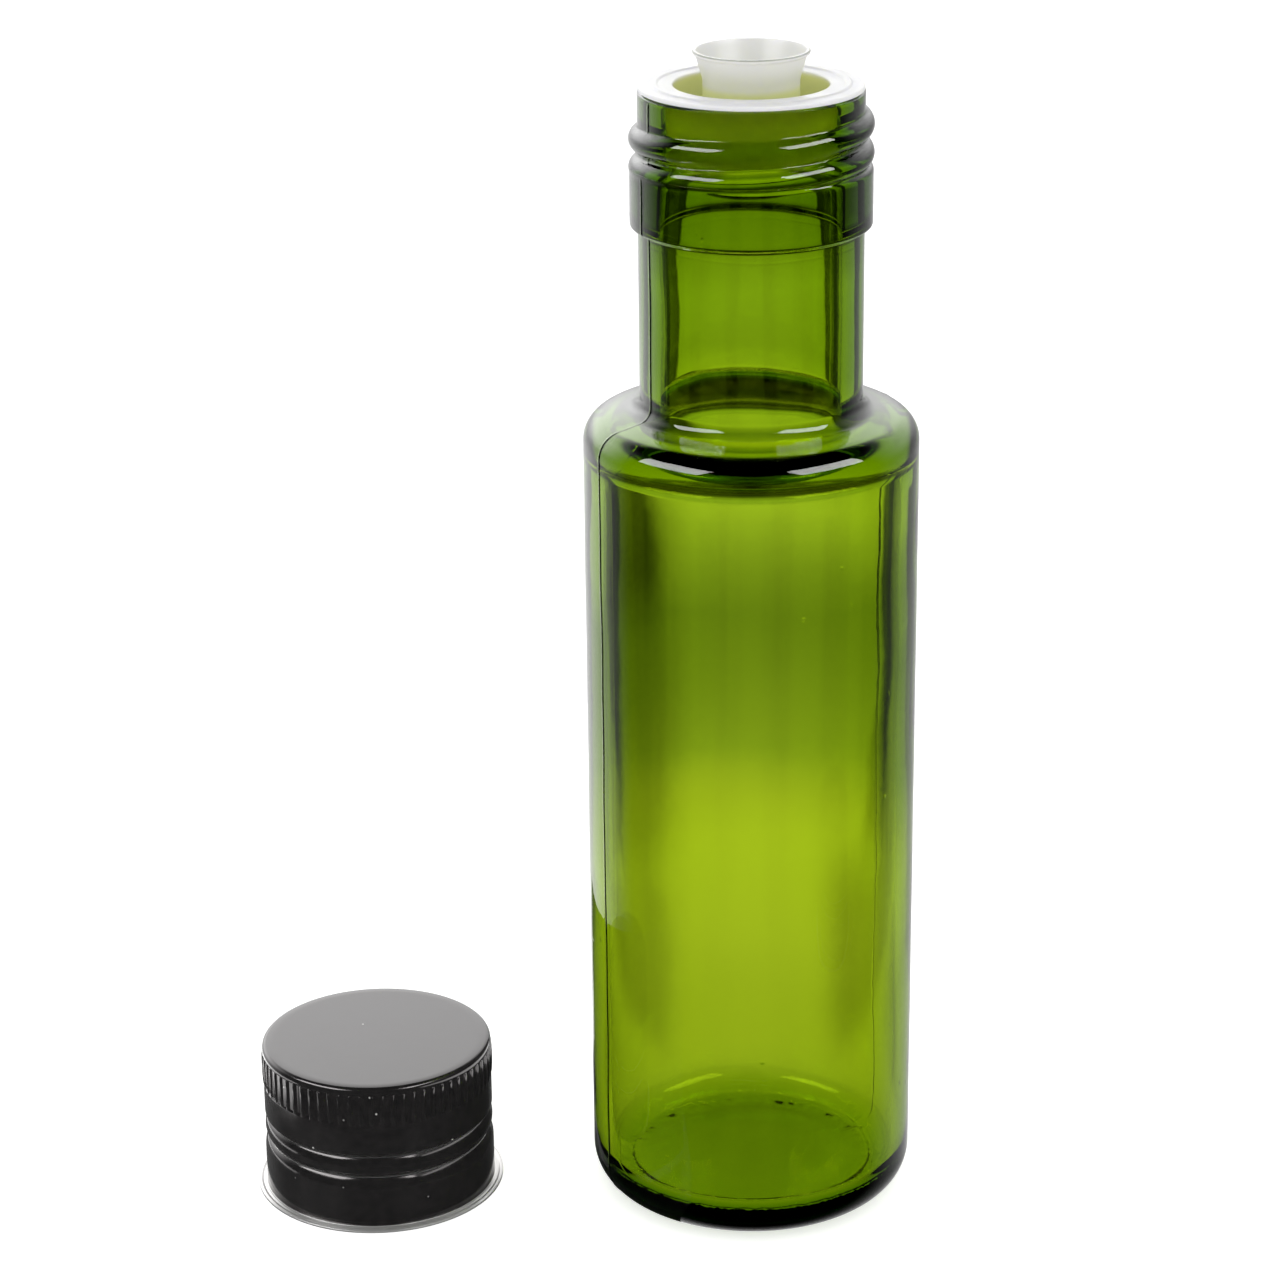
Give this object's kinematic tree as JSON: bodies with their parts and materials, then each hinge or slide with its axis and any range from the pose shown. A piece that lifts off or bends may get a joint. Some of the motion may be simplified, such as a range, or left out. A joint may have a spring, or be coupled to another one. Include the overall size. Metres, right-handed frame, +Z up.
{
  "type": "travel oil bottle",
  "caption": "Empty green glass oil bottle with threaded neck and collar, plastic pourer in its mouth and its black screw cap standing beside it.",
  "frame": {"origin": "on the floor, in the middle of the bounding box of bottle and cap", "axes": "+Z up along the bottle, +X from the cap towards the bottle, -Y towards the side the picture shows"},
  "size_m": [0.0892, 0.043, 0.1552],
  "materials": {
    "green_glass": "clear yellow-green glass, glossy",
    "pourer_plastic": "translucent milky white, soft satin",
    "black_lacquer": "glossy black lacquer on aluminium sheet, rim bare"
  },
  "bodies": {
    "root": {"bottle": "green_glass", "pourer": "pourer_plastic", "cap": "black_lacquer"}
  },
  "joints": []
}
